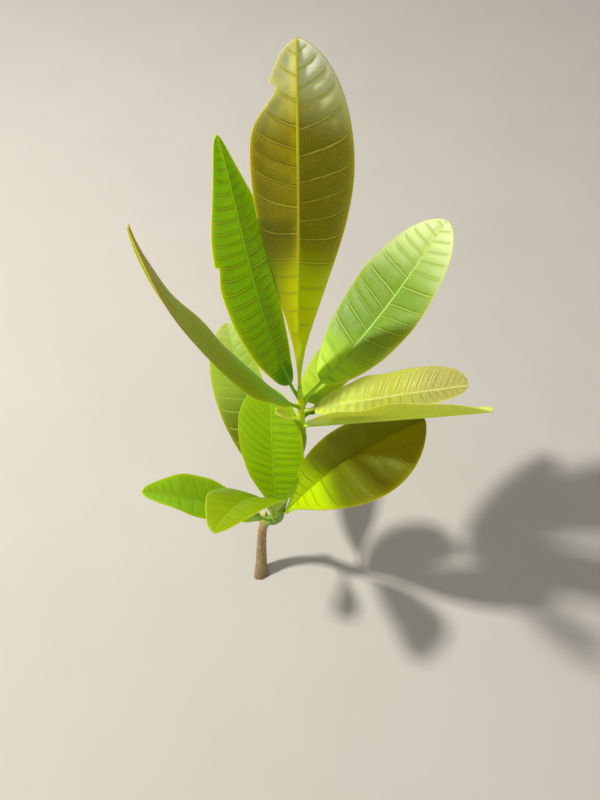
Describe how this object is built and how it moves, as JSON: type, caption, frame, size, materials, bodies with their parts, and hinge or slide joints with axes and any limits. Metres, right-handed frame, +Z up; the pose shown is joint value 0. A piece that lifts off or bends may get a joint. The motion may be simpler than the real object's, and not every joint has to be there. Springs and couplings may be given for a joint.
{
  "type": "cashew tree seedling",
  "caption": "Young cashew tree with a thin kinked stem that leans back and broad oval leaves in a low and an upper cluster, cut flat at the ground.",
  "frame": {"origin": "centre of the flat cut under the stem, at ground level", "axes": "+Z up, +X to the right and +Y away from a viewer who stands in front"},
  "size_m": [0.188, 0.1716, 0.4071],
  "materials": {
    "stem": "grey-brown bark at the foot that turns smooth and green above the kink",
    "green_leaf": "half-glossy green leaf with pale veins and a pale yellow edge",
    "olive_leaf": "half-glossy olive leaf with yellow-green veins",
    "young_leaf": "soft young leaf, yellow-green turning pinkish brown towards its tip"
  },
  "bodies": {
    "root": {"stem": "stem", "leaf_top": "olive_leaf", "leaf_upper_left": "green_leaf", "leaf_upper_right": "green_leaf", "leaf_right_back": "green_leaf", "leaf_right_young": "young_leaf", "leaf_right_front": "green_leaf", "leaf_left": "olive_leaf", "leaflet_right": "green_leaf", "leaflet_left": "young_leaf", "leaf_lower_right": "green_leaf", "leaf_lower_front": "green_leaf", "leaf_lower_back": "green_leaf", "leaf_low_left": "green_leaf", "leaf_low_front": "green_leaf"}
  },
  "joints": []
}
